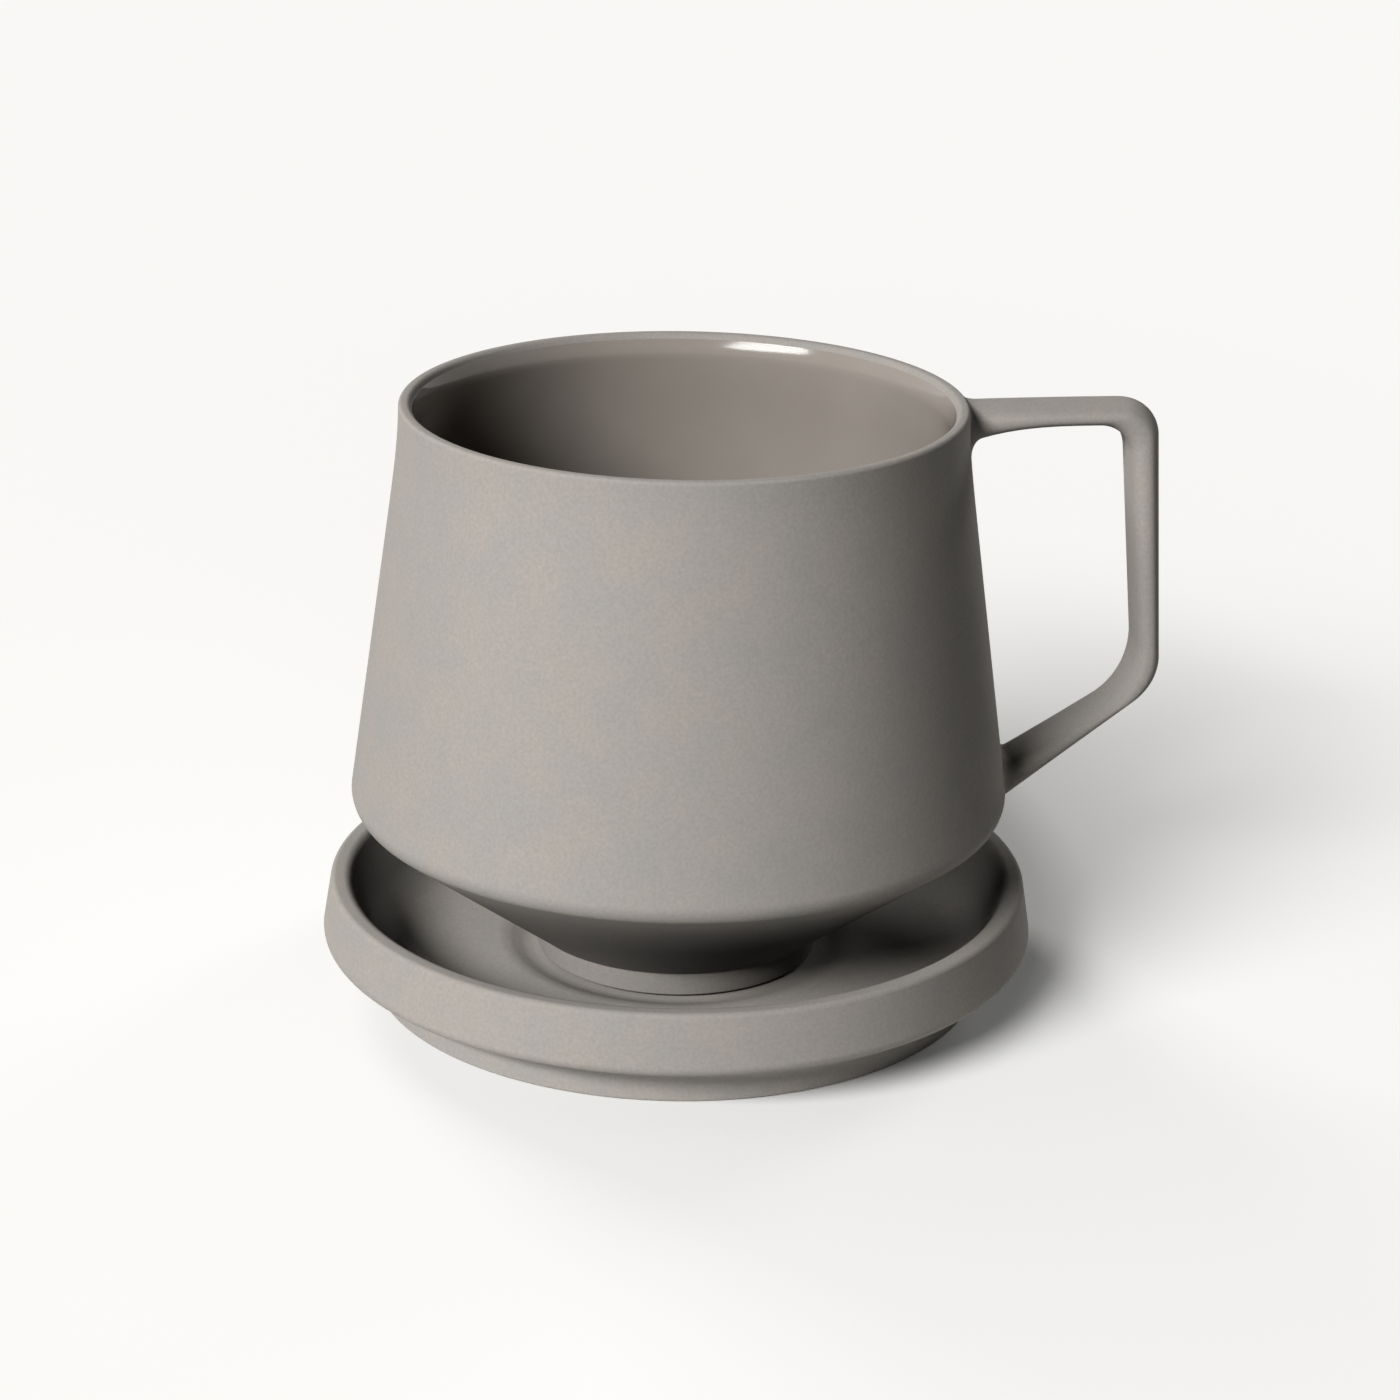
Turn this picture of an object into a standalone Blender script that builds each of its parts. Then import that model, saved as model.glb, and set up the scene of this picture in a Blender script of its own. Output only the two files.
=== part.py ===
# A porcelain mug with a strap handle, standing in the well of its matching saucer.
# Metres, +Z up. The origin is on the common axis at the table, and the handle points along +X.

import math

import bmesh
import bpy

# Gap left between two pieces that touch on the real object
FIT_GAP = 0.0003

# Saucer, heights above the table
SAUCER_HEIGHT = 0.0174
SAUCER_RIM_RADIUS = 0.0552
SAUCER_RIM_WIDTH = 0.0030
SAUCER_RIM_OUTER_ROUND = 0.0009
SAUCER_RIM_INNER_ROUND = 0.0021
SKIRT_OVERHANG = 0.0015
SKIRT_HEIGHT = 0.0082
SKIRT_ROUND = 0.0014
BASE_INSET = 0.0074
BASE_STEP_HEIGHT = 0.0062
BASE_STEP_ROUND = 0.0018
BASE_TAPER = 0.0006
BASE_EDGE_ROUND = 0.0006
BASE_RING_WIDTH = 0.0050
BASE_RECESS = 0.0008
SAUCER_INNER_LEAN = 0.0044
SAUCER_FLOOR_ROUND = 0.0060

# Well in the saucer's floor, which holds the mug's foot with a little play
WELL_FLOOR_HEIGHT = 0.00475
WELL_DEPTH = 0.00125
WELL_PLAY = 0.0018
WELL_SLOPE_WIDTH = 0.0012
WELL_ROUND = 0.0009

# Mug body, heights above the bottom of its own foot
MUG_HEIGHT = 0.0896
MOUTH_RADIUS = 0.0436
COLLAR_DEPTH = 0.0049
COLLAR_BLEND = 0.0028
BODY_WALL = 0.0019
SHOULDER_RADIUS = 0.0520
SHOULDER_HEIGHT = 0.0252
SHOULDER_ROUND = 0.0037
INNER_SHOULDER_ROUND = 0.0080
FOOT_RADIUS = 0.0222
FOOT_FLARE = 0.0013
FOOT_HEIGHT = 0.0043
FOOT_RING_WIDTH = 0.0032
FOOT_EDGE_ROUND = 0.0006
FOOT_RECESS = 0.0024
BODY_FLOOR = 0.0032
INNER_HEEL_ROUND = 0.0050

# Glaze lining of the inside
GLAZE_THICKNESS = 0.0005
GLAZE_EDGE_DEPTH = 0.0010

# Strap handle. Its outer edge runs level from the wall to a corner, down to an elbow and back in.
STRAP_WIDTH = 0.0090
HANDLE_TOP_DROP = 0.0010
HANDLE_STANDOFF = 0.0301
UPRIGHT_LEAN = 0.0028
ELBOW_RISE = 0.0175
HEEL_DROP = 0.0016
LOWER_ROOT_DROP = 0.0030
CORNER_OUTER_ROUND = 0.0052
CORNER_INNER_ROUND = 0.0054
ELBOW_OUTER_ROUND = 0.0076
ELBOW_INNER_ROUND = 0.0130
UPPER_ROOT_THICKNESS = 0.0061
UPPER_ARM_THICKNESS = 0.0037
UPRIGHT_TOP_THICKNESS = 0.0049
UPRIGHT_LOW_THICKNESS = 0.0041
LOWER_ROOT_THICKNESS = 0.0083
ROOT_FILLET = 0.0022
OUTER_FILLET = 0.0004

# Facet counts, and the squareness of the strap's section, which at 2 is an ellipse
TURN_STEPS = 56
ARC_STEPS = 4
SECTION_STEPS = 16
SECTION_POWER = 2.6
SMOOTH_ANGLE = math.radians(40)

# Places along a piece, as shares of its own length or size
WALL_DEPTH_SHARES = (0, 0.4, 0.8, 1.2, 1.8)
ARM_SHARES = (0.25, 0.5, 0.75)
ROOT_CAP_SHARES = (0.66, 0.33)
MERGE_SHARE = 0.01

MATTE_COLOUR = (0.42, 0.39, 0.36)
MATTE_ROUGHNESS = 0.62
GLAZE_COLOUR = (0.30, 0.265, 0.235)
GLAZE_ROUGHNESS = 0.12

MUG_BASE_HEIGHT = WELL_FLOOR_HEIGHT + FIT_GAP
ROLL_RADIUS = BODY_WALL / 2
FOOT_TOP_RADIUS = FOOT_RADIUS + FOOT_FLARE


def clear_scene():
    for item in list(bpy.data.objects):
        bpy.data.objects.remove(item, do_unlink=True)


def make_material(name, colour, roughness):
    material = bpy.data.materials.new(name)
    material.use_nodes = True
    shader = material.node_tree.nodes["Principled BSDF"]
    shader.inputs["Base Color"].default_value = (*colour, 1.0)
    shader.inputs["Roughness"].default_value = roughness
    shader.inputs["Metallic"].default_value = 0.0
    return material


def add_object(name, mesh_data, material):
    bmesh.ops.recalc_face_normals(mesh_data, faces=mesh_data.faces)
    mesh = bpy.data.meshes.new(name)
    mesh_data.to_mesh(mesh)
    mesh_data.free()
    mesh.shade_smooth()
    mesh.set_sharp_from_angle(angle=SMOOTH_ANGLE)
    mesh.materials.append(material)
    item = bpy.data.objects.new(name, mesh)
    bpy.context.scene.collection.objects.link(item)
    return item


# Outlines are lists of (radius, height) points in the plane of the handle


def unit(start, end):
    length = math.dist(start, end)
    return ((end[0] - start[0]) / length, (end[1] - start[1]) / length)


def along(start, end, distance):
    way = unit(start, end)
    return (start[0] + way[0] * distance, start[1] + way[1] * distance)


def between(first, second, share):
    return (first[0] + (second[0] - first[0]) * share, first[1] + (second[1] - first[1]) * share)


def rounded_corner(before, corner, after, radius, steps=ARC_STEPS):
    """Points of the arc that rounds the corner of an outline."""
    back = unit(corner, before)
    ahead = unit(corner, after)
    half_angle = math.acos(back[0] * ahead[0] + back[1] * ahead[1]) / 2
    start = along(corner, before, radius / math.tan(half_angle))
    end = along(corner, after, radius / math.tan(half_angle))
    centre = along(corner, between(start, end, 0.5), radius / math.sin(half_angle))
    first = math.atan2(start[1] - centre[1], start[0] - centre[0])
    last = math.atan2(end[1] - centre[1], end[0] - centre[0])
    turn = (last - first + math.pi) % math.tau - math.pi
    angles = [first + turn * step / steps for step in range(steps + 1)]
    return [
        (centre[0] + radius * math.cos(angle), centre[1] + radius * math.sin(angle))
        for angle in angles
    ]


def outline(corners):
    """Points of an outline whose corners are (radius, height, rounding)."""
    points = []
    for index, (radius, height, rounding) in enumerate(corners):
        if rounding:
            before = corners[index - 1][:2]
            after = corners[index + 1][:2]
            points += rounded_corner(before, (radius, height), after, rounding)
        else:
            points.append((radius, height))
    return points


def turned(name, profile, material):
    """A solid of revolution about Z, from a profile whose two ends are on the axis."""
    mesh = bmesh.new()
    corners = [mesh.verts.new((radius, 0, height)) for radius, height in profile]
    edges = [mesh.edges.new(pair) for pair in zip(corners, corners[1:])]
    bmesh.ops.spin(
        mesh,
        geom=corners + edges,
        cent=(0, 0, 0),
        axis=(0, 0, 1),
        angle=math.tau,
        steps=TURN_STEPS,
        use_merge=True,
    )
    bmesh.ops.remove_doubles(mesh, verts=mesh.verts, dist=FIT_GAP * MERGE_SHARE)
    return add_object(name, mesh, material)


# The mug's wall and underside. A surface that lies inset follows the outside at that thickness.


def softened(depth):
    """Nearly nothing down the collar, then a steady growth, with a soft turn between the two."""
    return COLLAR_BLEND * math.log1p(math.exp((depth - COLLAR_DEPTH) / COLLAR_BLEND))


WALL_RUN = softened(MUG_HEIGHT - SHOULDER_HEIGHT) - softened(0)
WALL_FLARE = (SHOULDER_RADIUS - MOUTH_RADIUS) / WALL_RUN
CONE_RISE = (SHOULDER_HEIGHT - FOOT_HEIGHT) / (SHOULDER_RADIUS - FOOT_TOP_RADIUS)


def wall_radius(height):
    return MOUTH_RADIUS + WALL_FLARE * (softened(MUG_HEIGHT - height) - softened(0))


def shoulder_corner(inset):
    """Where the wall and the underside would meet without their rounding."""
    rise = inset * (math.hypot(1, CONE_RISE) - CONE_RISE) / (1 + WALL_FLARE * CONE_RISE)
    return (SHOULDER_RADIUS - inset - WALL_FLARE * rise, SHOULDER_HEIGHT + rise)


def cone_radius(inset, height):
    corner = shoulder_corner(inset)
    return corner[0] - (corner[1] - height) / CONE_RISE


def wall_points(inset, top_height, rounding):
    """The wall from top_height down to the end of the rounded shoulder."""
    corner = shoulder_corner(inset)
    above = (corner[0] - WALL_FLARE * rounding, corner[1] + rounding)
    below = (cone_radius(inset, FOOT_HEIGHT), FOOT_HEIGHT)
    heights = [top_height - (COLLAR_DEPTH + COLLAR_BLEND) * share for share in WALL_DEPTH_SHARES]
    wall = [(wall_radius(height) - inset, height) for height in heights]
    return wall + rounded_corner(above, corner, below, rounding, ARC_STEPS + 1)


def inside_points(inset, floor_height, top_height):
    """The inside from top_height down the wall and the cone to the edge of the flat floor."""
    wall = wall_points(inset, top_height, INNER_SHOULDER_ROUND)
    heel = (cone_radius(inset, floor_height), floor_height)
    return wall + rounded_corner(wall[-1], heel, (0, floor_height), INNER_HEEL_ROUND)


def body_outside():
    """The mug's outside from the start of the lip's roll down to the foot."""
    return wall_points(0, MUG_HEIGHT - ROLL_RADIUS, SHOULDER_ROUND) + [(FOOT_TOP_RADIUS, FOOT_HEIGHT)]


def lip_roll():
    """The half round of the lip, from its outer to its inner side, without the two ends."""
    steps = ARC_STEPS + 2
    angles = [math.pi * step / steps for step in range(1, steps)]
    return [
        (
            MOUTH_RADIUS - ROLL_RADIUS + ROLL_RADIUS * math.cos(angle),
            MUG_HEIGHT - ROLL_RADIUS + ROLL_RADIUS * math.sin(angle),
        )
        for angle in angles
    ]


def on_saucer(points):
    return [(radius, height + MUG_BASE_HEIGHT) for radius, height in points]


def build_mug_body(material):
    ring_inner = FOOT_RADIUS - FOOT_RING_WIDTH
    foot = outline([
        (0, FOOT_RECESS, 0),
        (ring_inner - FOOT_EDGE_ROUND, FOOT_RECESS, FOOT_EDGE_ROUND),
        (ring_inner, 0, FOOT_EDGE_ROUND),
        (FOOT_RADIUS, 0, FOOT_EDGE_ROUND),
        (FOOT_TOP_RADIUS, FOOT_HEIGHT, 0),
    ])
    floor_height = FOOT_RECESS + BODY_FLOOR
    outside = list(reversed(body_outside()))[1:]
    inside = inside_points(BODY_WALL, floor_height, MUG_HEIGHT - ROLL_RADIUS)
    profile = foot + outside + lip_roll() + inside + [(0, floor_height)]
    return turned("mug_body", on_saucer(profile), material)


def build_inner_glaze(material):
    top_height = MUG_HEIGHT - ROLL_RADIUS - GLAZE_EDGE_DEPTH
    back_inset = BODY_WALL + FIT_GAP
    back_floor = FOOT_RECESS + BODY_FLOOR + FIT_GAP
    face_floor = back_floor + GLAZE_THICKNESS
    back = inside_points(back_inset, back_floor, top_height)
    face = inside_points(back_inset + GLAZE_THICKNESS, face_floor, top_height)
    profile = [(0, back_floor)] + list(reversed(back)) + face + [(0, face_floor)]
    return turned("inner_glaze", on_saucer(profile), material)


def build_saucer(material):
    skirt_radius = SAUCER_RIM_RADIUS + SKIRT_OVERHANG
    base_radius = skirt_radius - BASE_INSET
    base_inner = base_radius - BASE_TAPER - BASE_RING_WIDTH
    rim_inner = SAUCER_RIM_RADIUS - SAUCER_RIM_WIDTH
    floor_height = WELL_FLOOR_HEIGHT + WELL_DEPTH
    well_radius = FOOT_RADIUS + WELL_PLAY
    profile = outline([
        (0, BASE_RECESS, 0),
        (base_inner - BASE_EDGE_ROUND, BASE_RECESS, 0),
        (base_inner, 0, 0),
        (base_radius - BASE_TAPER, 0, BASE_EDGE_ROUND),
        (base_radius, BASE_STEP_HEIGHT, BASE_STEP_ROUND),
        (skirt_radius, SKIRT_HEIGHT, SKIRT_ROUND),
        (SAUCER_RIM_RADIUS, SAUCER_HEIGHT, SAUCER_RIM_OUTER_ROUND),
        (rim_inner, SAUCER_HEIGHT, SAUCER_RIM_INNER_ROUND),
        (rim_inner - SAUCER_INNER_LEAN, floor_height, SAUCER_FLOOR_ROUND),
        (well_radius + WELL_SLOPE_WIDTH, floor_height, WELL_ROUND),
        (well_radius, WELL_FLOOR_HEIGHT, WELL_ROUND),
        (0, WELL_FLOOR_HEIGHT, 0),
    ])
    return turned("saucer", profile, material)


# The strap handle. A station is one place along it: its outer and its inner point, and how far the
# hollow fillet at the wall has swollen the strap there.


def outside_radius(height, surface):
    """Radius of the mug's faceted outside at a height above its foot."""
    for upper, lower in zip(surface, surface[1:]):
        if upper[1] >= height >= lower[1]:
            share = (upper[1] - height) / (upper[1] - lower[1])
            return upper[0] + (lower[0] - upper[0]) * share
    return surface[0][0]


def root_point(height, surface):
    return (outside_radius(height, surface) + FIT_GAP, height)


def fillet_steps():
    """Distances from the wall and swellings of a hollow fillet, from the wall outwards."""
    angles = [math.pi / 2 * step / ARC_STEPS for step in range(ARC_STEPS + 1)]
    return [(ROOT_FILLET * (1 - math.cos(angle)), 1 - math.sin(angle)) for angle in angles]


def upper_arm(outer_root, inner_root, outer_end, inner_end):
    """Stations from the wall to the corner. The underside thickens in a curve to the wall."""
    length = math.dist(outer_root, outer_end)
    steps = fillet_steps()
    steps += [(ROOT_FILLET + (length - ROOT_FILLET) * share, 0) for share in ARM_SHARES]
    stations = []
    for distance, swelling in steps:
        outer = along(outer_root, outer_end, distance)
        reach = inner_root[0] + (inner_end[0] - inner_root[0]) * distance / length
        thickening = (inner_end[1] - inner_root[1]) * (1 - distance / length) ** 3
        stations.append((outer, (reach, inner_end[1] - thickening), swelling))
    return stations


def lower_arm(outer_root, heel, inner_root, outer_end, inner_end):
    """Stations from the elbow to the wall. The outer edge turns at the heel to follow the cone."""
    inner_run = math.dist(inner_root, inner_end) - ROOT_FILLET
    stations = []
    for share in ARM_SHARES:
        outer = between(outer_end, heel, share)
        inner = along(inner_end, inner_root, inner_run * share)
        stations.append((outer, inner, 0))
    for distance, swelling in reversed(fillet_steps()):
        outer = between(outer_root, heel, distance / ROOT_FILLET)
        inner = along(inner_root, inner_end, distance)
        stations.append((outer, inner, swelling))
    return stations


def strap_stations(surface):
    top = MUG_HEIGHT - HANDLE_TOP_DROP
    corner_reach = MOUTH_RADIUS + HANDLE_STANDOFF
    elbow_reach = corner_reach + UPRIGHT_LEAN
    elbow_height = SHOULDER_HEIGHT + ELBOW_RISE
    low = SHOULDER_HEIGHT - LOWER_ROOT_DROP
    outer_root = root_point(low, surface)

    outer = [
        root_point(top, surface),
        (corner_reach, top),
        (elbow_reach, elbow_height),
        (SHOULDER_RADIUS, SHOULDER_HEIGHT - HEEL_DROP),
    ]
    inner = [
        root_point(top - UPPER_ROOT_THICKNESS, surface),
        (corner_reach - UPRIGHT_TOP_THICKNESS, top - UPPER_ARM_THICKNESS),
        (elbow_reach - UPRIGHT_LOW_THICKNESS, elbow_height),
        root_point(low + LOWER_ROOT_THICKNESS, surface),
    ]
    underside_start = (inner[0][0], inner[1][1])
    outer_corner = rounded_corner(outer[0], outer[1], outer[2], CORNER_OUTER_ROUND)
    inner_corner = rounded_corner(underside_start, inner[1], inner[2], CORNER_INNER_ROUND)
    outer_elbow = rounded_corner(outer[1], outer[2], outer[3], ELBOW_OUTER_ROUND)
    inner_elbow = rounded_corner(inner[1], inner[2], inner[3], ELBOW_INNER_ROUND)

    stations = upper_arm(outer[0], inner[0], outer_corner[0], inner_corner[0])
    bends = zip(outer_corner + outer_elbow, inner_corner + inner_elbow)
    stations += [(outside, inside, 0) for outside, inside in bends]
    return stations + lower_arm(outer_root, outer[3], inner[3], outer_elbow[-1], inner_elbow[-1])


def squared(value):
    """A sine or cosine, pushed out so that the section is a rounded rectangle."""
    return math.copysign(abs(value) ** (2 / SECTION_POWER), value)


def section_ring(mesh, station, surface, on_wall=False, size_share=1):
    outer, inner, swelling = station
    outer = along(outer, inner, -OUTER_FILLET * swelling)
    inner = along(inner, outer, -ROOT_FILLET * swelling)
    middle = between(outer, inner, 0.5)
    half_width = STRAP_WIDTH / 2 + ROOT_FILLET * swelling
    ring = []
    for step in range(SECTION_STEPS):
        angle = math.tau * step / SECTION_STEPS
        across = squared(math.sin(angle)) * size_share
        outward = squared(math.cos(angle)) * size_share
        reach = middle[0] + (outer[0] - middle[0]) * outward
        height = middle[1] + (outer[1] - middle[1]) * outward
        side = half_width * across
        wall = outside_radius(height, surface) + FIT_GAP
        wall_reach = math.sqrt(wall ** 2 - side ** 2)
        if on_wall:
            reach = wall_reach
        else:
            reach -= (wall - wall_reach) * swelling
        ring.append(mesh.verts.new((reach, side, height + MUG_BASE_HEIGHT)))
    return ring


def bridge(mesh, first, second):
    for index in range(len(first)):
        mesh.faces.new((first[index - 1], first[index], second[index], second[index - 1]))


def close_root(mesh, ring, station, surface):
    """Close an end of the strap with rings that follow the wall's curve."""
    for share in ROOT_CAP_SHARES:
        smaller = section_ring(mesh, station, surface, True, share)
        bridge(mesh, ring, smaller)
        ring = smaller
    mesh.faces.new(ring)


def build_handle(material):
    surface = body_outside()
    stations = strap_stations(surface)
    mesh = bmesh.new()
    upper = section_ring(mesh, stations[0], surface, True)
    lower = section_ring(mesh, stations[-1], surface, True)
    free_rings = [section_ring(mesh, station, surface) for station in stations[1:-1]]
    rings = [upper] + free_rings + [lower]
    for first, second in zip(rings, rings[1:]):
        bridge(mesh, first, second)
    close_root(mesh, upper, stations[0], surface)
    close_root(mesh, lower, stations[-1], surface)
    return add_object("handle", mesh, material)


def main():
    clear_scene()
    build_saucer(make_material("saucer_porcelain", MATTE_COLOUR, MATTE_ROUGHNESS))
    build_mug_body(make_material("body_porcelain", MATTE_COLOUR, MATTE_ROUGHNESS))
    build_inner_glaze(make_material("inner_glaze", GLAZE_COLOUR, GLAZE_ROUGHNESS))
    build_handle(make_material("handle_porcelain", MATTE_COLOUR, MATTE_ROUGHNESS))


main()
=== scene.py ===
import math

import bmesh
import bpy
from mathutils import Matrix, Vector


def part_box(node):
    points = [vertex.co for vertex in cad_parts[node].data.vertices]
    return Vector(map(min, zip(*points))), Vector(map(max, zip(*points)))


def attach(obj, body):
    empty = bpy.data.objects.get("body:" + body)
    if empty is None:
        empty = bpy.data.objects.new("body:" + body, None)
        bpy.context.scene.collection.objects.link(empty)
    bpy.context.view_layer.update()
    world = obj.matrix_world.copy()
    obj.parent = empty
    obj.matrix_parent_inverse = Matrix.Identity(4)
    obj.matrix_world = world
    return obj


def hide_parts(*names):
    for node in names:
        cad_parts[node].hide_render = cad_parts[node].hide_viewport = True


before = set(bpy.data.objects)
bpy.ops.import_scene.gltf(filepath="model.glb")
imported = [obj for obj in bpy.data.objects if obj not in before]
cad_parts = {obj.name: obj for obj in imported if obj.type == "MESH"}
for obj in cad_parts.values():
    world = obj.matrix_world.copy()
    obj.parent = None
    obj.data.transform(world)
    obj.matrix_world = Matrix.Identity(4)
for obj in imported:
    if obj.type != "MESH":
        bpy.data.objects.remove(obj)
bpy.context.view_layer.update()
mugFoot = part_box("mug_body")[0].z
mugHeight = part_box("mug_body")[1].z - mugFoot
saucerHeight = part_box("saucer")[1].z
touching = 1e-7  # points closer than this are one point
print("frame loaded:", ", ".join(sorted(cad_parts)))


# Small helpers for outlines, which are lists of (radius, height) points

def unit(start, end):
    length = math.dist(start, end)
    return ((end[0] - start[0]) / length, (end[1] - start[1]) / length)


def along(start, end, distance):
    way = unit(start, end)
    return (start[0] + way[0] * distance, start[1] + way[1] * distance)


def between(first, second, share):
    return (first[0] + (second[0] - first[0]) * share, first[1] + (second[1] - first[1]) * share)


def halfAngle(before, corner, after):
    back = unit(corner, before)
    ahead = unit(corner, after)
    return math.acos(back[0] * ahead[0] + back[1] * ahead[1]) / 2


def roundedCorner(before, corner, after, radius, steps):
    # the points of an arc that touches both legs of the corner
    half = halfAngle(before, corner, after)
    start = along(corner, before, radius / math.tan(half))
    end = along(corner, after, radius / math.tan(half))
    centre = along(corner, between(start, end, 0.5), radius / math.sin(half))
    first = math.atan2(start[1] - centre[1], start[0] - centre[0])
    last = math.atan2(end[1] - centre[1], end[0] - centre[0])
    turn = (last - first + math.pi) % math.tau - math.pi
    angles = [first + turn * step / steps for step in range(steps + 1)]
    return [(centre[0] + radius * math.cos(a), centre[1] + radius * math.sin(a)) for a in angles]


# Small helpers for edit mode

def selectVerts(piece, wanted):
    mesh = bmesh.from_edit_mesh(piece.data)
    mesh.select_mode = {"VERT"}
    for vert in mesh.verts:
        vert.select_set(bool(wanted(vert.co)))
    mesh.select_flush_mode()
    bmesh.update_edit_mesh(piece.data)


def loosePoint(name, place):
    # a plane merged to one vertex, the start of an outline
    bpy.ops.object.select_all(action="DESELECT")
    bpy.ops.mesh.primitive_plane_add(size=0.01, location=(0, 0, 0))
    piece = bpy.context.object
    piece.name = name
    piece.data.name = name
    bpy.ops.object.mode_set(mode="EDIT")
    bpy.ops.mesh.select_mode(type="VERT")
    bpy.ops.mesh.merge(type="CENTER")
    bpy.ops.transform.translate(value=(place[0], 0, place[1]))
    return piece


def drawOutline(name, corners, segments):
    # extrude a vertex from corner to corner, then bevel the corners that have a rounding
    piece = loosePoint(name, corners[0][:2])
    for before, here in zip(corners, corners[1:]):
        step = (here[0] - before[0], 0, here[1] - before[1])
        bpy.ops.mesh.extrude_region_move(TRANSFORM_OT_translate={"value": step})
    for index, (radius, height, rounding) in enumerate(corners):
        if rounding:
            half = halfAngle(corners[index - 1][:2], (radius, height), corners[index + 1][:2])
            place = Vector((radius, 0, height))
            selectVerts(piece, lambda co: (co - place).length < touching)
            bpy.ops.mesh.bevel(
                affect="VERTICES",
                offset=rounding / math.tan(half),
                segments=segments,
                profile=0.5,
            )
    return piece


def turnOutline(piece, steps):
    # spin the outline once round Z, and close the seam and the poles
    bpy.ops.mesh.select_all(action="SELECT")
    bpy.ops.mesh.spin(steps=steps, angle=math.tau, center=(0, 0, 0), axis=(0, 0, 1))
    bpy.ops.mesh.select_all(action="SELECT")
    bpy.ops.mesh.remove_doubles(threshold=touching)
    bpy.ops.mesh.normals_make_consistent(inside=False)
    bpy.ops.object.mode_set(mode="OBJECT")
    bpy.ops.object.shade_smooth()
    print(piece.name, "has", len(piece.data.polygons), "faces")
    return piece


def dress(piece, material, body, node):
    piece.data.materials.clear()
    piece.data.materials.append(material)
    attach(piece, body)
    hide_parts(node)


# Mug body, with heights above the bottom of its own foot
mug = {
    "mouthRadius": 0.0436,
    "collarDepth": 0.0049,  # how far down the wall stays nearly upright
    "collarBlend": 0.0028,
    "wall": 0.0028,
    "lipWidth": 0.0016,
    "lipDepth": 0.0039,  # where the wall reaches its full thickness
    "lipOuterRound": 0.0006,
    "lipInnerRound": 0.0008,
    "outsideStart": 0.00084,  # clear of the lip's outer rounding
    "shoulderRadius": 0.05195,
    "shoulderHeight": 0.0258,
    "shoulderRound": 0.0032,
    "innerShoulderRound": 0.0080,
    "footRadius": 0.0222,
    "footFlare": 0.0013,
    "footHeight": 0.0043,
    "footRingWidth": 0.0032,
    "footEdgeRound": 0.0006,
    "footNeckRound": 0.0006,
    "footRecess": 0.0024,
    "floor": 0.0032,
    "innerHeelRound": 0.0050,
    "wallSteps": 48,
    "wallSpread": 1.8,  # above 1 the steps are closer near the rim
    "roundSteps": 10,
    "turnSteps": 240,
}


def softened(depth):
    # nearly nothing down the collar, then a steady growth, with a soft turn between the two
    blend = mug["collarBlend"]
    return blend * math.log1p(math.exp((depth - mug["collarDepth"]) / blend))


wallRun = softened(mugHeight - mug["shoulderHeight"]) - softened(0)
wallFlare = (mug["shoulderRadius"] - mug["mouthRadius"]) / wallRun
footTop = mug["footRadius"] + mug["footFlare"]
coneRise = (mug["shoulderHeight"] - mug["footHeight"]) / (mug["shoulderRadius"] - footTop)
floorTop = mug["footRecess"] + mug["floor"]


def wallRadius(height):
    return mug["mouthRadius"] + wallFlare * (softened(mugHeight - height) - softened(0))


def shoulderCorner(inset):
    # where the wall and the cone would meet without a rounding, at this depth inside the surface
    rise = inset * (math.hypot(1, coneRise) - coneRise) / (1 + wallFlare * coneRise)
    return (mug["shoulderRadius"] - inset - wallFlare * rise, mug["shoulderHeight"] + rise)


def coneRadius(inset, height):
    corner = shoulderCorner(inset)
    return corner[0] - (corner[1] - height) / coneRise


def wallPoints(topHeight, inset, rounding):
    # from topHeight down to where the rounded shoulder begins, closer together near the rim
    bottom = shoulderCorner(inset(0))[1] + rounding
    points = []
    for step in range(mug["wallSteps"] + 1):
        share = (step / mug["wallSteps"]) ** mug["wallSpread"]
        height = topHeight + (bottom - topHeight) * share
        points.append((wallRadius(height) - inset(height), height, 0))
    return points


def lipInset(height):
    # the inside slopes in from the lip, less and less, down to the full wall
    share = min(1, (mugHeight - height) / mug["lipDepth"])
    return mug["lipWidth"] + (mug["wall"] - mug["lipWidth"]) * (1 - (1 - share) ** 2)


def onSaucer(corners):
    return [(radius, height + mugFoot, rounding) for radius, height, rounding in corners]


def makeMugBody():
    ringInner = mug["footRadius"] - mug["footRingWidth"]
    outside = wallPoints(mugHeight - mug["outsideStart"], lambda height: 0, mug["shoulderRound"])
    inside = wallPoints(mugHeight - mug["lipInnerRound"], lipInset, mug["innerShoulderRound"])
    lip = [
        (mug["mouthRadius"], mugHeight, mug["lipOuterRound"]),
        (mug["mouthRadius"] - mug["lipWidth"], mugHeight, mug["lipInnerRound"]),
    ]
    corners = [
        (0, mug["footRecess"], 0),
        (ringInner - mug["footEdgeRound"], mug["footRecess"], mug["footEdgeRound"]),
        (ringInner, 0, mug["footEdgeRound"]),
        (mug["footRadius"], 0, mug["footEdgeRound"]),
        (footTop, mug["footHeight"], mug["footNeckRound"]),
        (*shoulderCorner(0), mug["shoulderRound"]),
    ]
    corners += outside[::-1] + lip + inside
    corners += [
        (*shoulderCorner(mug["wall"]), mug["innerShoulderRound"]),
        (coneRadius(mug["wall"], floorTop), floorTop, mug["innerHeelRound"]),
        (0, floorTop, 0),
    ]
    piece = drawOutline("mugBody", onSaucer(corners), mug["roundSteps"])
    return turnOutline(piece, mug["turnSteps"])


# Glossy glaze inside, which starts level with the wall under the lip and thickens slowly downward
glaze = {
    "thickness": 0.00025,
    "sunk": 0.00030,  # how far its back lies inside the wall
    "edgeDepth": 0.0009,
}


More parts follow.
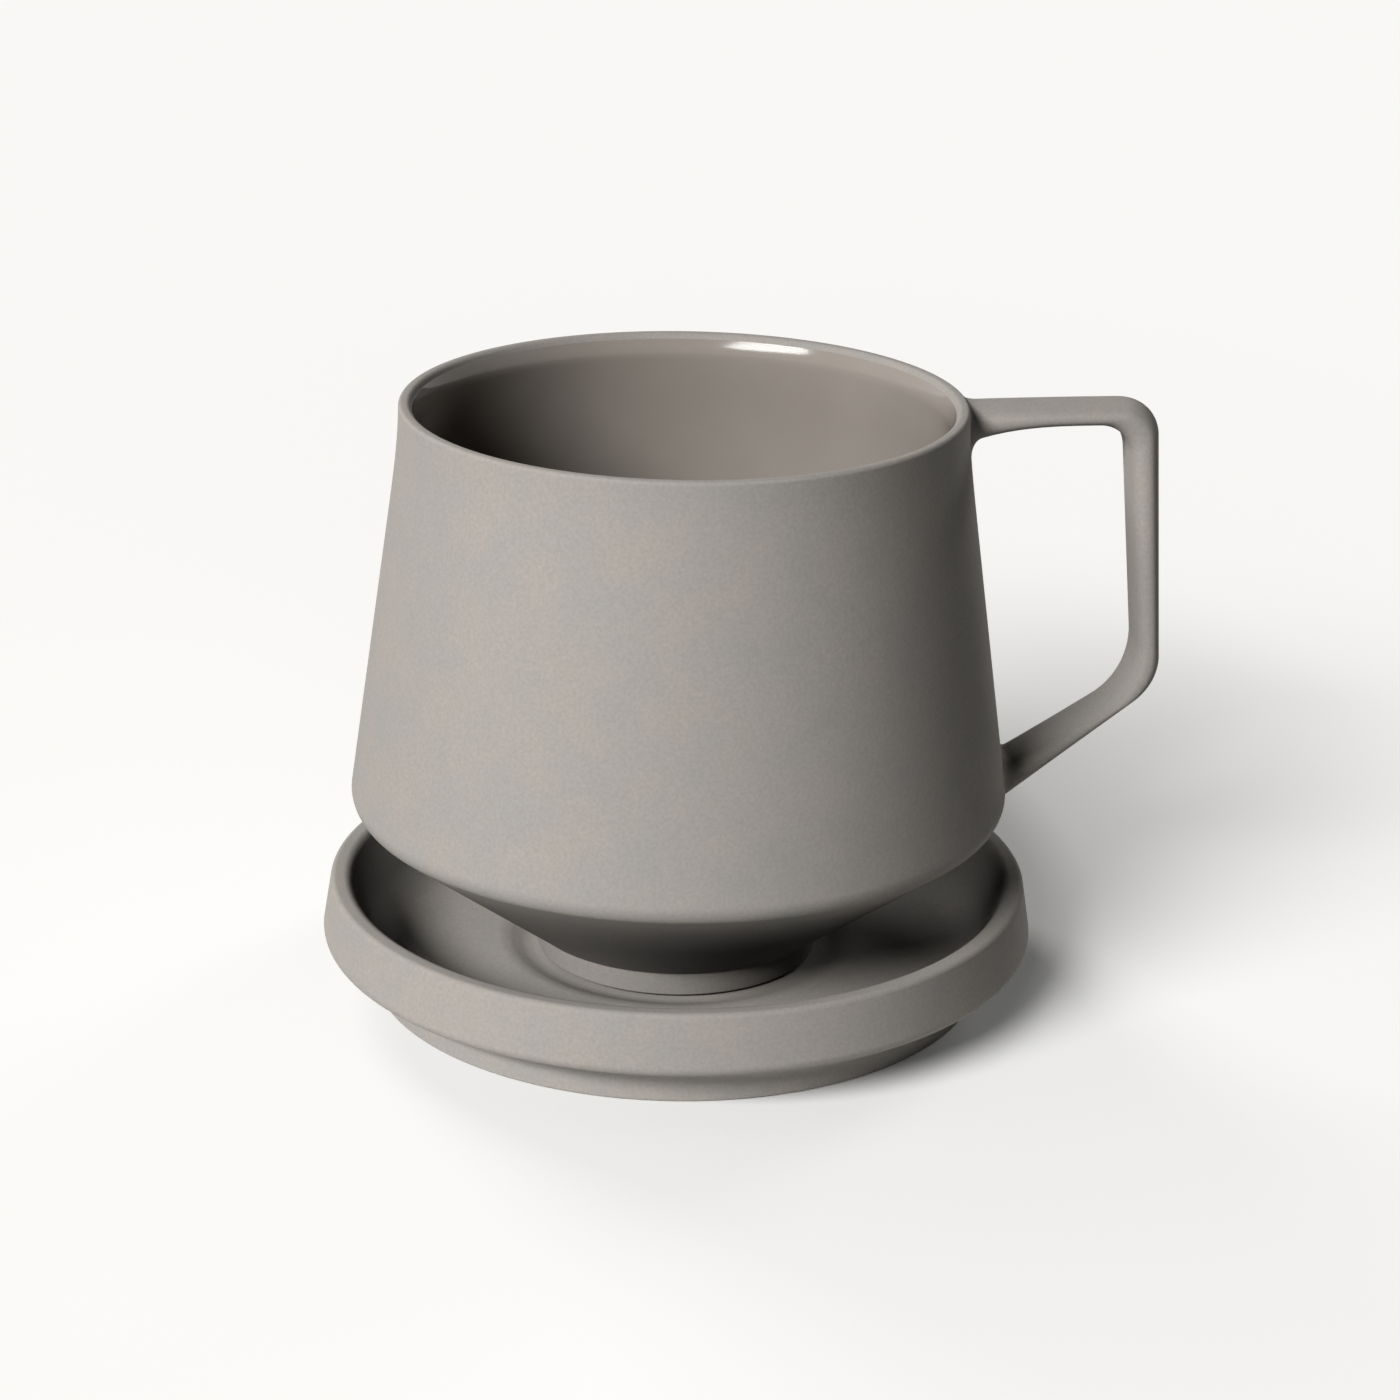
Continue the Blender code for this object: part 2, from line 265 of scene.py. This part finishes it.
def faceInset(height):
    run = mug["lipDepth"] - glaze["edgeDepth"]
    share = min(1, (mugHeight - glaze["edgeDepth"] - height) / run)
    return lipInset(height) + glaze["thickness"] * share * share * (3 - 2 * share)


def backInset(height):
    return lipInset(height) - glaze["sunk"]


def makeInnerGlaze():
    top = mugHeight - glaze["edgeDepth"]
    backDepth = mug["wall"] - glaze["sunk"]
    faceDepth = mug["wall"] + glaze["thickness"]
    backFloor = floorTop - glaze["sunk"]
    faceFloor = floorTop + glaze["thickness"]
    back = wallPoints(top, backInset, mug["innerShoulderRound"])
    face = wallPoints(top, faceInset, mug["innerShoulderRound"])
    corners = [
        (0, backFloor, 0),
        (coneRadius(backDepth, backFloor), backFloor, mug["innerHeelRound"]),
        (*shoulderCorner(backDepth), mug["innerShoulderRound"]),
    ]
    corners += back[::-1] + face
    corners += [
        (*shoulderCorner(faceDepth), mug["innerShoulderRound"]),
        (coneRadius(faceDepth, faceFloor), faceFloor, mug["innerHeelRound"]),
        (0, faceFloor, 0),
    ]
    piece = drawOutline("innerGlaze", onSaucer(corners), mug["roundSteps"])
    return turnOutline(piece, mug["turnSteps"])


# Saucer, with heights above the table
saucer = {
    "rimRadius": 0.0552,
    "rimWidth": 0.0030,
    "rimOuterRound": 0.0009,
    "rimInnerRound": 0.0016,
    "skirtOverhang": 0.0015,
    "skirtHeight": 0.0082,
    "skirtRound": 0.0016,
    "baseInset": 0.0074,
    "baseStepHeight": 0.0048,
    "baseStepRound": 0.0030,
    "baseTaper": 0.0006,
    "baseEdgeRound": 0.0006,
    "baseRingWidth": 0.0050,
    "baseRecess": 0.0008,
    "innerLean": 0.0044,
    "floorRound": 0.0060,
    "wellHeight": 0.00475,
    "wellDepth": 0.00125,
    "wellPlay": 0.0018,  # room round the mug's foot
    "wellSlope": 0.0036,
    "wellRound": 0.0070,
    "roundSteps": 10,
    "turnSteps": 256,
}


def makeSaucer():
    skirt = saucer["rimRadius"] + saucer["skirtOverhang"]
    base = skirt - saucer["baseInset"]
    baseInner = base - saucer["baseTaper"] - saucer["baseRingWidth"]
    rimInner = saucer["rimRadius"] - saucer["rimWidth"]
    floorHeight = saucer["wellHeight"] + saucer["wellDepth"]
    well = mug["footRadius"] + saucer["wellPlay"]
    corners = [
        (0, saucer["baseRecess"], 0),
        (baseInner - saucer["baseEdgeRound"], saucer["baseRecess"], saucer["baseEdgeRound"] / 2),
        (baseInner, 0, saucer["baseEdgeRound"] / 2),
        (base - saucer["baseTaper"], 0, saucer["baseEdgeRound"]),
        (base, saucer["baseStepHeight"], saucer["baseStepRound"]),
        (skirt, saucer["skirtHeight"], saucer["skirtRound"]),
        (saucer["rimRadius"], saucerHeight, saucer["rimOuterRound"]),
        (rimInner, saucerHeight, saucer["rimInnerRound"]),
        (rimInner - saucer["innerLean"], floorHeight, saucer["floorRound"]),
        (well + saucer["wellSlope"], floorHeight, saucer["wellRound"]),
        (well, saucer["wellHeight"], saucer["wellRound"]),
        (0, saucer["wellHeight"], 0),
    ]
    piece = drawOutline("dish", corners, saucer["roundSteps"])
    return turnOutline(piece, saucer["turnSteps"])


# Strap handle, its inner edges widely rounded and its outer face crowned, drawn level from the wall
# to a corner, down to an elbow and back in to the shoulder
handle = {
    "width": 0.0105,
    "crownShare": 0.50,  # of the thickness, taken by the crown of the outer face
    "innerEdgeRound": 0.0034,
    "innerEdgeSteps": 8,
    "topDrop": 0.00063,
    "standoff": 0.02998,
    "lean": 0.0028,
    "elbowRise": 0.0177,
    "elbowInsideDrop": 0.0008,
    "heelDrop": 0.0017,
    "lowerRootDrop": 0.0018,
    "cornerOuterRound": 0.0052,
    "cornerInnerRound": 0.0054,
    "elbowOuterRound": 0.0076,
    "elbowInnerRound": 0.0130,
    "upperRootThickness": 0.0056,
    "upperArmThickness": 0.0032,
    "uprightTopThickness": 0.0047,
    "uprightLowThickness": 0.0035,
    "lowerRootThickness": 0.0060,
    "rootTaper": 3,  # the higher, the closer to the wall the upper root thickens
    "filletReach": 0.0022,
    "upperOuterFillet": 0.0004,
    "lowerOuterFillet": 0.0018,
    "bendSteps": 14,
    "armSteps": 10,
    "filletSteps": 10,
    "rootSink": 0.0007,
    "rootLift": 0.00002,
    "acrossCuts": 15,
    "smoothAngle": 50,
}


def wallPoint(height):
    # on the mug's outside, also under the shoulder
    corner = shoulderCorner(0)
    rounding = mug["shoulderRound"]
    arc = roundedCorner(
        (wallRadius(corner[1] + rounding), corner[1] + rounding),
        corner,
        (footTop, mug["footHeight"]),
        rounding,
        mug["roundSteps"],
    )
    if height >= arc[0][1]:
        return (wallRadius(height), height)
    for upper, lower in zip(arc, arc[1:]):
        if upper[1] >= height >= lower[1]:
            return between(upper, lower, (upper[1] - height) / (upper[1] - lower[1]))
    return (coneRadius(0, height), height)


def strapStations():
    # each station is an outer and an inner point, how strongly the root draws it to the wall,
    # and how far its fillet spreads outward
    top = mugHeight - handle["topDrop"]
    low = mug["shoulderHeight"] - handle["lowerRootDrop"]
    cornerReach = mug["mouthRadius"] + handle["standoff"]
    elbowReach = cornerReach + handle["lean"]
    elbowHeight = mug["shoulderHeight"] + handle["elbowRise"]
    outer = [
        wallPoint(top),
        (cornerReach, top),
        (elbowReach, elbowHeight),
        (mug["shoulderRadius"], mug["shoulderHeight"] - handle["heelDrop"]),
    ]
    inner = [
        wallPoint(top - handle["upperRootThickness"]),
        (cornerReach - handle["uprightTopThickness"], top - handle["upperArmThickness"]),
        (elbowReach - handle["uprightLowThickness"], elbowHeight - handle["elbowInsideDrop"]),
        wallPoint(low + handle["lowerRootThickness"]),
    ]
    outerRoot = wallPoint(low)
    level = (inner[0][0], inner[1][1])
    bend = handle["bendSteps"]
    outerBends = roundedCorner(outer[0], outer[1], outer[2], handle["cornerOuterRound"], bend)
    innerBends = roundedCorner(level, inner[1], inner[2], handle["cornerInnerRound"], bend)
    outerBends += roundedCorner(outer[1], outer[2], outer[3], handle["elbowOuterRound"], bend)
    innerBends += roundedCorner(inner[1], inner[2], inner[3], handle["elbowInnerRound"], bend)
    bends = [(out, into, 0, 0) for out, into in zip(outerBends, innerBends)]
    reach = handle["filletReach"]

    angles = [math.pi / 2 * step / handle["filletSteps"] for step in range(handle["filletSteps"])]
    flare = [(reach * math.tan(angle / 2), 1 - math.sin(angle)) for angle in angles]

    upperLength = math.dist(outer[0], outerBends[0])
    steps = flare + [
        (reach + (upperLength - reach) * step / handle["armSteps"], 0)
        for step in range(handle["armSteps"])
    ]
    upper = []
    for distance, pull in steps:
        share = distance / upperLength
        under = inner[0][0] + (innerBends[0][0] - inner[0][0]) * share
        thickening = (innerBends[0][1] - inner[0][1]) * (1 - share) ** handle["rootTaper"]
        out = along(outer[0], outerBends[0], distance)
        into = (under, innerBends[0][1] - thickening)
        upper.append((out, into, pull, handle["upperOuterFillet"]))

    lower = []
    innerLength = math.dist(inner[3], innerBends[-1])
    for step in range(1, handle["armSteps"] + 1):
        share = step / handle["armSteps"]
        out = between(outerBends[-1], outer[3], share)
        into = along(innerBends[-1], inner[3], (innerLength - reach) * share)
        lower.append((out, into, 0, 0))
    for distance, pull in reversed(flare):
        out = between(outerRoot, outer[3], distance / reach)
        into = along(inner[3], innerBends[-1], distance)
        lower.append((out, into, pull, handle["lowerOuterFillet"]))
    return upper + bends + lower


def stationShape(station):
    # middle, thickness, width and outward angle of the strap at a station
    out, into, pull, spread = station
    out = along(out, into, -spread * pull)
    into = along(into, out, -handle["filletReach"] * pull)
    middle = between(out, into, 0.5)
    width = handle["width"] + 2 * handle["filletReach"] * pull
    angle = math.atan2(out[1] - into[1], out[0] - into[0])
    return (Vector((middle[0], 0, middle[1] + mugFoot)), math.dist(out, into), width, angle)


def drawSection(piece, thickness, width):
    # round the inner corners of a plane in the YZ plane, cut its long edges and arch the outer one
    centre = sum((piece.matrix_world @ vert.co for vert in piece.data.vertices), Vector()) / 4
    bpy.ops.object.mode_set(mode="EDIT")
    selectVerts(piece, lambda co: co.z < centre.z)
    bpy.ops.mesh.bevel(
        affect="VERTICES",
        offset=handle["innerEdgeRound"],
        segments=handle["innerEdgeSteps"],
    )
    mesh = bmesh.from_edit_mesh(piece.data)
    for edge in mesh.edges:
        level = abs(edge.verts[0].co.z - edge.verts[1].co.z) < 10 * touching
        edge.select_set(level and edge.calc_length() > width / 2)
    bmesh.update_edit_mesh(piece.data)
    bpy.ops.mesh.subdivide(number_cuts=handle["acrossCuts"])
    for vert in bmesh.from_edit_mesh(piece.data).verts:
        if vert.co.z > centre.z:
            turn = (vert.co.y - centre.y) / width * math.pi
            vert.co.y = centre.y + width / 2 * math.sin(turn)
            vert.co.z -= handle["crownShare"] * thickness * (1 - math.cos(turn))
    bmesh.update_edit_mesh(piece.data)


def turnSection(centre, angle):
    bpy.ops.transform.rotate(value=angle, orient_axis="Y", center_override=centre)


def sizeSection(centre, facing, thickRatio, wideRatio):
    # scale along the strap's thickness and width alone
    outward = (math.cos(facing), 0, math.sin(facing))
    ahead = (-outward[2], 0, outward[0])
    bpy.ops.transform.resize(
        value=(thickRatio, wideRatio, 1),
        orient_type="GLOBAL",
        orient_matrix=(outward, (0, 1, 0), ahead),
        orient_matrix_type="GLOBAL",
        center_override=centre,
    )


def weighSection(pull):
    # the new ring's weight says how strongly the wall draws it
    bpy.context.scene.tool_settings.vertex_group_weight = pull
    bpy.ops.object.vertex_group_assign()


def makeWallGuide():
    # the mug's outside alone, which the handle's roots are drawn on to
    corners = [(footTop, mug["footHeight"], 0), (*shoulderCorner(0), mug["shoulderRound"])]
    outside = wallPoints(mugHeight, lambda height: 0, mug["shoulderRound"])
    guide = drawOutline("wallGuide", onSaucer(corners + outside[::-1]), mug["roundSteps"])
    return turnOutline(guide, mug["turnSteps"])


def drawRoots(piece):
    # draw both ends on to the wall by their weights, then sink their closing faces into it
    guide = makeWallGuide()
    bpy.ops.object.select_all(action="DESELECT")
    piece.select_set(True)
    bpy.context.view_layer.objects.active = piece
    wrap = piece.modifiers.new("root", "SHRINKWRAP")
    wrap.target = guide
    wrap.vertex_group = "root"
    wrap.wrap_method = "PROJECT"
    wrap.use_project_x = True
    wrap.use_negative_direction = True
    wrap.use_positive_direction = True
    wrap.offset = handle["rootLift"]
    bpy.ops.object.modifier_apply(modifier="root")
    bpy.data.objects.remove(guide)

    bpy.ops.object.mode_set(mode="EDIT")
    bpy.ops.mesh.select_mode(type="FACE")
    bpy.ops.mesh.select_all(action="DESELECT")
    mesh = bmesh.from_edit_mesh(piece.data)
    for face in mesh.faces:
        face.select_set(len(face.verts) > 4)
    bmesh.update_edit_mesh(piece.data)
    bpy.ops.mesh.extrude_region_move(TRANSFORM_OT_translate={"value": (-handle["rootSink"], 0, 0)})
    bpy.ops.mesh.select_all(action="SELECT")
    bpy.ops.mesh.normals_make_consistent(inside=False)
    bpy.ops.object.mode_set(mode="OBJECT")


def makeHandle():
    stations = strapStations()
    middle, thickness, width, angle = stationShape(stations[0])
    bpy.ops.object.select_all(action="DESELECT")
    bpy.ops.mesh.primitive_plane_add(size=1, location=middle, rotation=(0, math.pi / 2, 0))
    piece = bpy.context.object
    piece.name = "strapHandle"
    piece.data.name = "strapHandle"
    bpy.ops.transform.resize(value=(1, width, thickness), orient_type="GLOBAL")
    bpy.ops.object.transform_apply(location=True, rotation=True, scale=True)
    drawSection(piece, thickness, width)
    bpy.ops.mesh.select_all(action="SELECT")
    turnSection(middle, angle - math.pi / 2)
    bpy.ops.object.vertex_group_add()
    piece.vertex_groups.active.name = "root"
    weighSection(stations[0][2])
    for station in stations[1:]:
        here, thick, wide, facing = stationShape(station)
        bpy.ops.mesh.extrude_region_move(TRANSFORM_OT_translate={"value": here - middle})
        turnSection(here, facing - angle)
        sizeSection(here, facing, thick / thickness, wide / width)
        weighSection(station[2])
        middle, thickness, width, angle = here, thick, wide, facing
    bpy.ops.object.mode_set(mode="OBJECT")
    drawRoots(piece)
    piece.vertex_groups.clear()
    bpy.ops.object.shade_smooth_by_angle(angle=math.radians(handle["smoothAngle"]))
    print(piece.name, "has", len(piece.data.polygons), "faces")
    return piece


# Materials

def newMaterial(name):
    material = bpy.data.materials.new(name)
    material.use_nodes = True
    nodes = material.node_tree.nodes
    return material, nodes, material.node_tree.links, nodes["Principled BSDF"]


def noiseNode(nodes, links, place, scale, detail, roughness=0.5):
    noise = nodes.new("ShaderNodeTexNoise")
    noise.inputs["Scale"].default_value = scale
    noise.inputs["Detail"].default_value = detail
    noise.inputs["Roughness"].default_value = roughness
    links.new(place.outputs["Object"], noise.inputs["Vector"])
    return noise


def rangeNode(nodes, links, source, fromLow, fromHigh, toLow, toHigh):
    node = nodes.new("ShaderNodeMapRange")
    node.inputs["From Min"].default_value = fromLow
    node.inputs["From Max"].default_value = fromHigh
    node.inputs["To Min"].default_value = toLow
    node.inputs["To Max"].default_value = toHigh
    links.new(source, node.inputs["Value"])
    return node.outputs["Result"]


def mixColour(nodes, links, factor, first, second):
    mix = nodes.new("ShaderNodeMix")
    mix.data_type = "RGBA"
    links.new(factor, mix.inputs["Factor"])
    for socket, colour in ((mix.inputs["A"], first), (mix.inputs["B"], second)):
        if isinstance(colour, bpy.types.NodeSocket):
            links.new(colour, socket)
        else:
            socket.default_value = (*colour, 1)
    return mix.outputs["Result"]


def dimBounce(nodes, links, colour, bounced):
    # a deeper colour for bounced and mirrored light alone, which keeps the hollows dark
    path = nodes.new("ShaderNodeLightPath")
    either = nodes.new("ShaderNodeMath")
    either.operation = "MAXIMUM"
    links.new(path.outputs["Is Diffuse Ray"], either.inputs[0])
    links.new(path.outputs["Is Glossy Ray"], either.inputs[1])
    return mixColour(nodes, links, either.outputs[0], colour, bounced)


def bumpNode(nodes, links, height, strength, distance, under=None):
    bump = nodes.new("ShaderNodeBump")
    bump.inputs["Strength"].default_value = strength
    bump.inputs["Distance"].default_value = distance
    links.new(height, bump.inputs["Height"])
    if under:
        links.new(under, bump.inputs["Normal"])
    return bump.outputs["Normal"]


# Unglazed porcelain: warm grey with faint clouds, a grain as of the finest sandpaper and few dark specks
matte = {
    "cooler": (0.415, 0.395, 0.372),
    "warmer": (0.455, 0.415, 0.376),
    "deeper": (0.335, 0.312, 0.288),
    "speck": (0.24, 0.22, 0.20),
    "bounced": (0.036, 0.035, 0.033),
    "cloudScale": 110,
    "cloudRange": (0.35, 0.65),
    "grainScale": 1900,
    "grainRange": (0.35, 0.70),
    "grainDepth": 0.45,
    "toothScale": 1100,
    "toothRange": (0.3, 0.7),
    "speckScale": 420,
    "speckRange": (0.03, 0.05),
    "speckDepth": 0.5,
    "roughness": (0.60, 0.72),
    "gloss": 0.05,
    "grainHeight": 0.000012,
    "toothHeight": 0.000020,
}


def makeMatte():
    material, nodes, links, shader = newMaterial("mattePorcelain")
    place = nodes.new("ShaderNodeTexCoord")
    cloud = noiseNode(nodes, links, place, matte["cloudScale"], 6, 0.6)
    grain = noiseNode(nodes, links, place, matte["grainScale"], 2)
    tooth = noiseNode(nodes, links, place, matte["toothScale"], 3)
    speck = nodes.new("ShaderNodeTexVoronoi")
    speck.inputs["Scale"].default_value = matte["speckScale"]
    links.new(place.outputs["Object"], speck.inputs["Vector"])
    clouded = rangeNode(nodes, links, cloud.outputs["Fac"], *matte["cloudRange"], 0, 1)
    body = mixColour(nodes, links, clouded, matte["cooler"], matte["warmer"])
    grained = rangeNode(nodes, links, grain.outputs["Fac"], *matte["grainRange"], matte["grainDepth"], 0)
    body = mixColour(nodes, links, grained, body, matte["deeper"])
    nearSpeck = speck.outputs["Distance"]
    specked = rangeNode(nodes, links, nearSpeck, *matte["speckRange"], matte["speckDepth"], 0)
    body = mixColour(nodes, links, specked, body, matte["speck"])
    body = dimBounce(nodes, links, body, matte["bounced"])
    links.new(body, shader.inputs["Base Color"])
    shader.inputs["Specular IOR Level"].default_value = matte["gloss"]
    rough = rangeNode(nodes, links, tooth.outputs["Fac"], *matte["toothRange"], *matte["roughness"])
    links.new(rough, shader.inputs["Roughness"])
    normal = bumpNode(nodes, links, tooth.outputs["Fac"], 1, matte["toothHeight"])
    normal = bumpNode(nodes, links, grain.outputs["Fac"], 1, matte["grainHeight"], normal)
    links.new(normal, shader.inputs["Normal"])
    return material


# Glaze: the same clay seen through a clear, slightly browner coat with a soft, uneven gloss
gloss = {
    "colour": (0.360, 0.320, 0.283),
    "deeper": (0.330, 0.292, 0.256),
    "bounced": (0.060, 0.054, 0.048),
    "cloudScale": 45,
    "cloudRange": (0.35, 0.65),
    "waveScale": 160,
    "roughRange": (0.3, 0.7),
    "roughness": (0.09, 0.15),
    "gloss": 0.25,
    "waveHeight": 0.00003,
}


def makeGloss():
    material, nodes, links, shader = newMaterial("glossyGlaze")
    place = nodes.new("ShaderNodeTexCoord")
    cloud = noiseNode(nodes, links, place, gloss["cloudScale"], 4)
    wave = noiseNode(nodes, links, place, gloss["waveScale"], 1)
    clouded = rangeNode(nodes, links, cloud.outputs["Fac"], *gloss["cloudRange"], 0, 1)
    body = mixColour(nodes, links, clouded, gloss["colour"], gloss["deeper"])
    links.new(dimBounce(nodes, links, body, gloss["bounced"]), shader.inputs["Base Color"])
    shader.inputs["Specular IOR Level"].default_value = gloss["gloss"]
    rough = rangeNode(nodes, links, cloud.outputs["Fac"], *gloss["roughRange"], *gloss["roughness"])
    links.new(rough, shader.inputs["Roughness"])
    links.new(bumpNode(nodes, links, wave.outputs["Fac"], 1, gloss["waveHeight"]), shader.inputs["Normal"])
    return material


# Floor: plain white. Where it is seen, it goes over from lit white beside the saucer to the flat
# pale colour of the ground further out. It gives back most light near the saucer.
floor = {
    "size": 8,
    "near": (0.90, 0.90, 0.88),
    "away": (0.30, 0.30, 0.30),
    "nearReach": (0.064, 0.080),
    "seen": (1.32, 1.31, 1.288),  # above 1, to make up for how flat the light falls on it
    "ground": (0.948, 0.939, 0.922),
    "centre": (0.010, 0.042, 0),
    "stretch": (1, 0.6, 1),
    "far": 0.30,
    # distance from the centre, and the share of the ground's colour there
    "lift": ((0.055, 0.05), (0.066, 0.28), (0.090, 0.44), (0.115, 0.58), (0.150, 0.78), (0.300, 1.0)),
}


def makeFloor():
    bpy.ops.object.select_all(action="DESELECT")
    bpy.ops.mesh.primitive_plane_add(size=floor["size"], location=(0, 0, 0))
    piece = bpy.context.object
    piece.name = "floor"
    material, nodes, links, shader = newMaterial("paleFloor")
    nodes.remove(shader)
    place = nodes.new("ShaderNodeTexCoord")
    length = nodes.new("ShaderNodeVectorMath")
    length.operation = "LENGTH"
    links.new(place.outputs["Object"], length.inputs[0])
    offset = nodes.new("ShaderNodeVectorMath")
    offset.operation = "SUBTRACT"
    links.new(place.outputs["Object"], offset.inputs[0])
    offset.inputs[1].default_value = floor["centre"]
    squeezed = nodes.new("ShaderNodeVectorMath")
    squeezed.operation = "MULTIPLY"
    links.new(offset.outputs["Vector"], squeezed.inputs[0])
    squeezed.inputs[1].default_value = floor["stretch"]
    outward = nodes.new("ShaderNodeVectorMath")
    outward.operation = "LENGTH"
    links.new(squeezed.outputs["Vector"], outward.inputs[0])
    distance = rangeNode(nodes, links, outward.outputs["Value"], 0, floor["far"], 0, 1)
    ramp = nodes.new("ShaderNodeValToRGB")
    links.new(distance, ramp.inputs["Fac"])
    stops = ramp.color_ramp.elements
    while len(stops) < len(floor["lift"]):
        stops.new(0.5)
    for stop, (reach, lift) in zip(stops, floor["lift"]):
        stop.position = reach / floor["far"]
        stop.color = (lift, lift, lift, 1)
    lit = nodes.new("ShaderNodeBsdfDiffuse")
    lit.inputs["Color"].default_value = (*floor["seen"], 1)
    flat = nodes.new("ShaderNodeEmission")
    flat.inputs["Color"].default_value = (*floor["ground"], 1)
    plain = nodes.new("ShaderNodeBsdfDiffuse")
    away = rangeNode(nodes, links, length.outputs["Value"], *floor["nearReach"], 0, 1)
    links.new(mixColour(nodes, links, away, floor["near"], floor["away"]), plain.inputs["Color"])
    seen = nodes.new("ShaderNodeMixShader")
    links.new(ramp.outputs["Color"], seen.inputs[0])
    links.new(lit.outputs[0], seen.inputs[1])
    links.new(flat.outputs[0], seen.inputs[2])
    both = nodes.new("ShaderNodeMixShader")
    links.new(directlySeen(nodes, links), both.inputs[0])
    links.new(plain.outputs[0], both.inputs[1])
    links.new(seen.outputs[0], both.inputs[2])
    links.new(both.outputs[0], nodes["Material Output"].inputs["Surface"])
    piece.data.materials.append(material)
    return piece


def directlySeen(nodes, links):
    # 1 for what the camera sees, straight or in a gloss
    path = nodes.new("ShaderNodeLightPath")
    total = nodes.new("ShaderNodeMath")
    total.operation = "ADD"
    links.new(path.outputs["Is Camera Ray"], total.inputs[0])
    links.new(path.outputs["Is Glossy Ray"], total.inputs[1])
    more = nodes.new("ShaderNodeMath")
    more.operation = "ADD"
    more.use_clamp = True
    links.new(total.outputs[0], more.inputs[0])
    links.new(path.outputs["Is Transmission Ray"], more.inputs[1])
    return more.outputs[0]


# Light: a wide, shallow softbox at the left and two weaker ones behind, which the glaze doesn't mirror.
# A strength of 1 shows a surface that faces the softbox in the colour that it is written in.
# Turns are in degrees from the camera's side, left negative.
light = {
    "aim": (0, 0, 0.045),
    "distance": 2.2,
    "softboxes": {
        "mainSoftbox": {"turn": -39, "rise": 30, "size": (1.40, 0.45), "strength": 1.13},
        "backLeftSoftbox": {"turn": -148, "rise": 24, "size": (0.90, 0.70), "strength": 0.33},
        "backRightSoftbox": {"turn": 142, "rise": 18, "size": (0.85, 0.50), "strength": 0.16},
    },
    "mirrored": "mainSoftbox",
    "worldGrey": 0.01,
}


def placeSoftbox(name, softbox):
    side = math.radians(softbox["turn"] - view["aside"])
    up = math.radians(softbox["rise"])
    back = Vector((math.sin(side) * math.cos(up), -math.cos(side) * math.cos(up), math.sin(up)))
    lamp = bpy.data.lights.new(name, "AREA")
    lamp.shape = "ELLIPSE"
    lamp.size, lamp.size_y = softbox["size"]
    lamp.energy = softbox["strength"] * (math.pi * light["distance"]) ** 2
    piece = bpy.data.objects.new(name, lamp)
    piece.location = Vector(light["aim"]) + back * light["distance"]
    piece.rotation_euler = back.to_track_quat("Z", "Y").to_euler()
    piece.visible_glossy = name == light["mirrored"]
    bpy.context.scene.collection.objects.link(piece)


def makeWorld():
    world = bpy.data.worlds.new("studio")
    world.use_nodes = True
    nodes = world.node_tree.nodes
    links = world.node_tree.links
    grey = nodes["Background"]
    grey.inputs["Color"].default_value = (1, 1, 1, 1)
    grey.inputs["Strength"].default_value = light["worldGrey"]
    white = nodes.new("ShaderNodeBackground")
    white.inputs["Color"].default_value = (*floor["ground"], 1)
    mix = nodes.new("ShaderNodeMixShader")
    links.new(directlySeen(nodes, links), mix.inputs[0])
    links.new(grey.outputs[0], mix.inputs[1])
    links.new(white.outputs[0], mix.inputs[2])
    links.new(mix.outputs[0], nodes["World Output"].inputs["Surface"])
    bpy.context.scene.world = world


# Camera: a long lens from the front and a little to the left, looking down by about 20 degrees
view = {
    "aside": 6.029,
    "distance": 0.51488,
    "height": 0.23548,
    "turn": 6.380,
    "tilt": 20.206,
    "roll": 1.013,
    "lens": 89.576,
}


def makeCamera():
    side = math.radians(view["aside"])
    data = bpy.data.cameras.new("camera")
    data.lens = view["lens"]
    camera = bpy.data.objects.new("camera", data)
    bpy.context.scene.collection.objects.link(camera)
    turn = Matrix.Rotation(-math.radians(view["turn"]), 4, "Z")
    tilt = Matrix.Rotation(math.radians(90 - view["tilt"]), 4, "X")
    roll = Matrix.Rotation(math.radians(view["roll"]), 4, "Z")
    back = Vector((-math.sin(side), -math.cos(side), 0)) * view["distance"]
    camera.matrix_world = Matrix.Translation(back + Vector((0, 0, view["height"]))) @ turn @ tilt @ roll
    bpy.context.scene.camera = camera


mattePorcelain = makeMatte()
glossyGlaze = makeGloss()
print("materials made")

dress(makeMugBody(), mattePorcelain, "mug", "mug_body")
dress(makeInnerGlaze(), glossyGlaze, "mug", "inner_glaze")
dress(makeSaucer(), mattePorcelain, "saucer", "saucer")
dress(makeHandle(), mattePorcelain, "mug", "handle")

makeFloor()
makeWorld()
for name, softbox in light["softboxes"].items():
    placeSoftbox(name, softbox)
makeCamera()
bpy.context.scene.view_settings.view_transform = "Standard"
print("stage, light and camera set")
